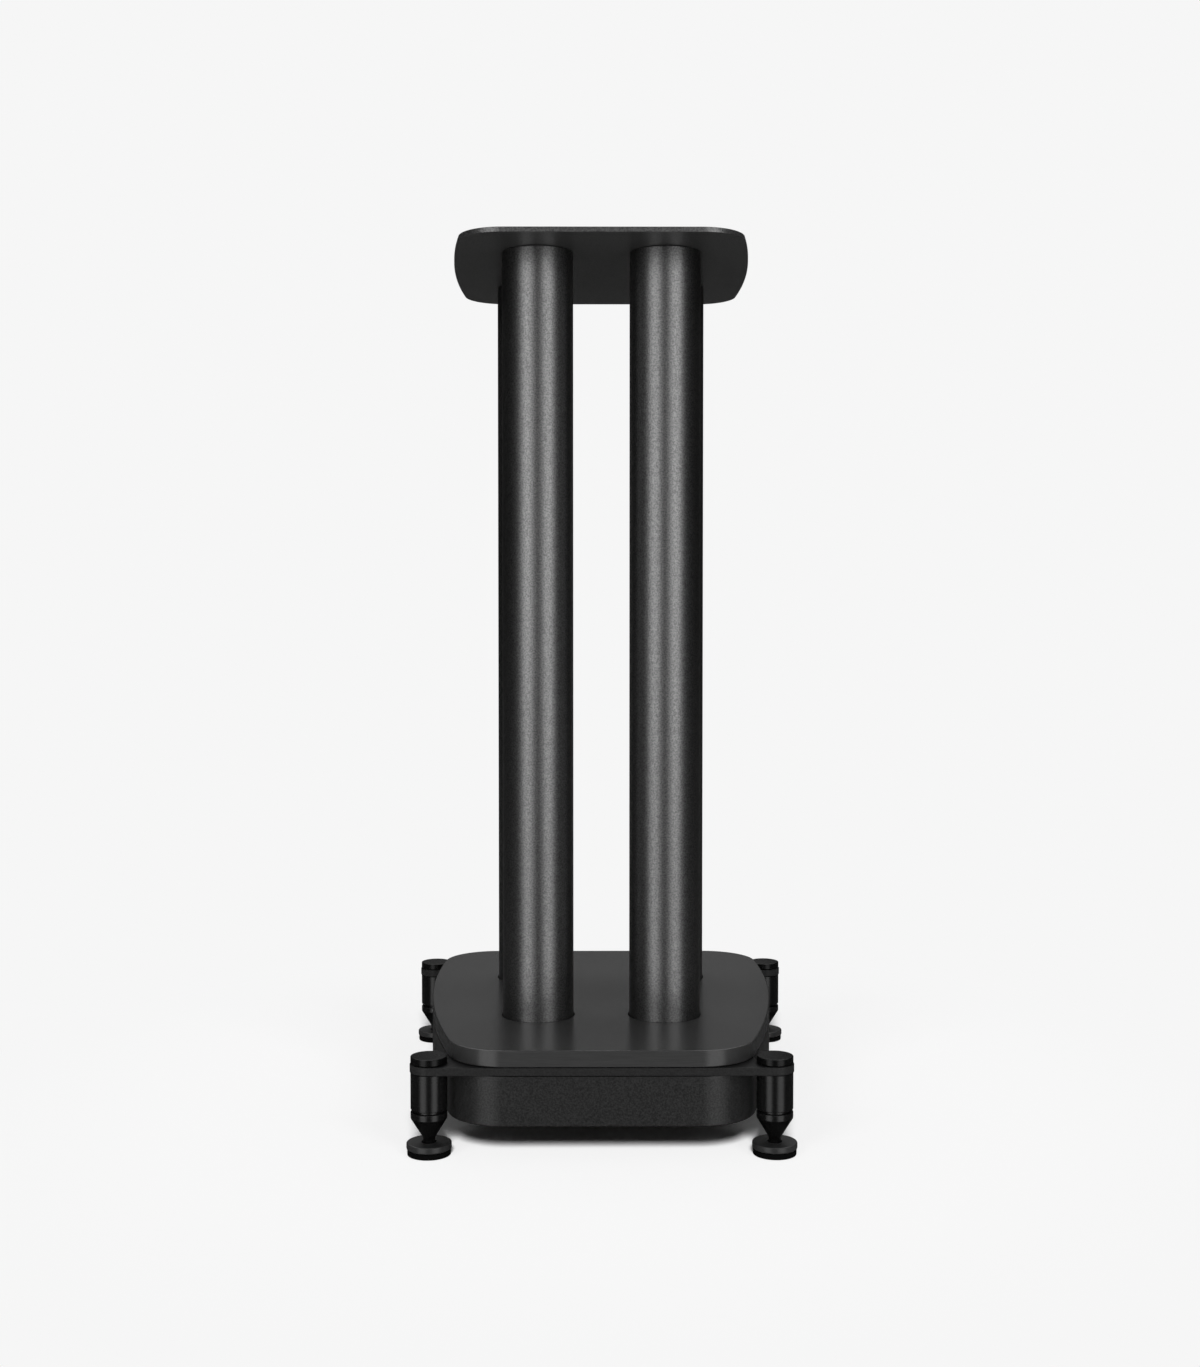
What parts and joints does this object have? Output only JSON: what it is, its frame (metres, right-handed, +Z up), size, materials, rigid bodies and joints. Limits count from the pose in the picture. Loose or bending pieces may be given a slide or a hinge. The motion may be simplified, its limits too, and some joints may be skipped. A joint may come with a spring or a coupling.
{
  "type": "speaker stand",
  "caption": "Loudspeaker stand: four round columns carry a boat-shaped top plate over a thick two-layer plinth on outrigger bars with screw-adjustable feet and floor discs.",
  "frame": {"origin": "on the floor, midway between the four feet, under the middle of the stand", "axes": "+Z up; -Y towards the narrow end of the boat-shaped plates, which the picture shows nearest; +X to the right as seen from that end"},
  "size_m": [0.305, 0.3242, 0.612],
  "materials": {
    "top_plate": "satin",
    "column": "satin",
    "plinth_deck": "satin",
    "plinth_body": "matte",
    "outrigger_bar": "satin",
    "foot_metal": "gloss",
    "floor_disc": "satin",
    "floor_pad": "matte",
    "plug_steel": "satin",
    "black_fastener": "satin"
  },
  "bodies": {
    "stand": {"top_plate": "top_plate", "plate_screw_front_left": "black_fastener", "plate_screw_front_right": "black_fastener", "plate_screw_rear_left": "black_fastener", "plate_screw_rear_right": "black_fastener", "column_front_left": "column", "column_front_right": "column", "column_rear_left": "column", "column_rear_right": "column", "column_top_plug_front_left": "plug_steel", "column_top_plug_front_right": "plug_steel", "column_top_plug_rear_left": "plug_steel", "column_top_plug_rear_right": "plug_steel", "column_base_plug_front_left": "plug_steel", "column_base_plug_front_right": "plug_steel", "column_base_plug_rear_left": "plug_steel", "column_base_plug_rear_right": "plug_steel", "column_bolt_washer_front_left": "plug_steel", "column_bolt_washer_front_right": "plug_steel", "column_bolt_washer_rear_left": "plug_steel", "column_bolt_washer_rear_right": "plug_steel", "column_bolt_front_left": "black_fastener", "column_bolt_front_right": "black_fastener", "column_bolt_rear_left": "black_fastener", "column_bolt_rear_right": "black_fastener", "plinth_body": "plinth_body", "plinth_deck": "plinth_deck", "outrigger_bar_front": "outrigger_bar", "outrigger_bar_rear": "outrigger_bar", "plinth_screw_front_left": "black_fastener", "plinth_screw_front_right": "black_fastener", "plinth_screw_rear_left": "black_fastener", "plinth_screw_rear_right": "black_fastener", "foot_cap_front_left": "foot_metal", "foot_cap_front_right": "foot_metal", "foot_cap_rear_left": "foot_metal", "foot_cap_rear_right": "foot_metal", "foot_barrel_front_left": "foot_metal", "foot_barrel_front_right": "foot_metal", "foot_barrel_rear_left": "foot_metal", "foot_barrel_rear_right": "foot_metal"},
    "floor_disc_front_left_body": {"floor_disc_front_left": "floor_disc", "floor_pad_front_left": "floor_pad"},
    "spike_front_left_body": {"foot_spike_front_left": "foot_metal"},
    "floor_disc_front_right_body": {"floor_disc_front_right": "floor_disc", "floor_pad_front_right": "floor_pad"},
    "spike_front_right_body": {"foot_spike_front_right": "foot_metal"},
    "floor_disc_rear_left_body": {"floor_disc_rear_left": "floor_disc", "floor_pad_rear_left": "floor_pad"},
    "spike_rear_left_body": {"foot_spike_rear_left": "foot_metal"},
    "floor_disc_rear_right_body": {"floor_disc_rear_right": "floor_disc", "floor_pad_rear_right": "floor_pad"},
    "spike_rear_right_body": {"foot_spike_rear_right": "foot_metal"}
  },
  "joints": [
    {"name": "foot_lift_front_left", "type": "slide", "parent": "stand", "child": "floor_disc_front_left_body", "axis": [0, 0, -1], "range_m": [0, 0.008]},
    {"name": "foot_turn_front_left", "type": "hinge", "parent": "floor_disc_front_left_body", "child": "spike_front_left_body", "pos_m": [-0.11396, -0.1472, 0.0064], "axis": [0, 0, -1], "range_deg": [0, 2304]},
    {"name": "foot_lift_front_right", "type": "slide", "parent": "stand", "child": "floor_disc_front_right_body", "axis": [0, 0, -1], "range_m": [0, 0.008]},
    {"name": "foot_turn_front_right", "type": "hinge", "parent": "floor_disc_front_right_body", "child": "spike_front_right_body", "pos_m": [0.11396, -0.1472, 0.0064], "axis": [0, 0, -1], "range_deg": [0, 2304]},
    {"name": "foot_lift_rear_left", "type": "slide", "parent": "stand", "child": "floor_disc_rear_left_body", "axis": [0, 0, -1], "range_m": [0, 0.008]},
    {"name": "foot_turn_rear_left", "type": "hinge", "parent": "floor_disc_rear_left_body", "child": "spike_rear_left_body", "pos_m": [-0.13758, 0.1472, 0.0064], "axis": [0, 0, -1], "range_deg": [0, 2304]},
    {"name": "foot_lift_rear_right", "type": "slide", "parent": "stand", "child": "floor_disc_rear_right_body", "axis": [0, 0, -1], "range_m": [0, 0.008]},
    {"name": "foot_turn_rear_right", "type": "hinge", "parent": "floor_disc_rear_right_body", "child": "spike_rear_right_body", "pos_m": [0.13758, 0.1472, 0.0064], "axis": [0, 0, -1], "range_deg": [0, 2304]}
  ],
  "couplings": [
    {"joint": "foot_turn_front_left", "follows": "foot_lift_front_left", "rad_per_m": 5026.5},
    {"joint": "foot_turn_front_right", "follows": "foot_lift_front_right", "rad_per_m": 5026.5},
    {"joint": "foot_turn_rear_left", "follows": "foot_lift_rear_left", "rad_per_m": 5026.5},
    {"joint": "foot_turn_rear_right", "follows": "foot_lift_rear_right", "rad_per_m": 5026.5}
  ]
}
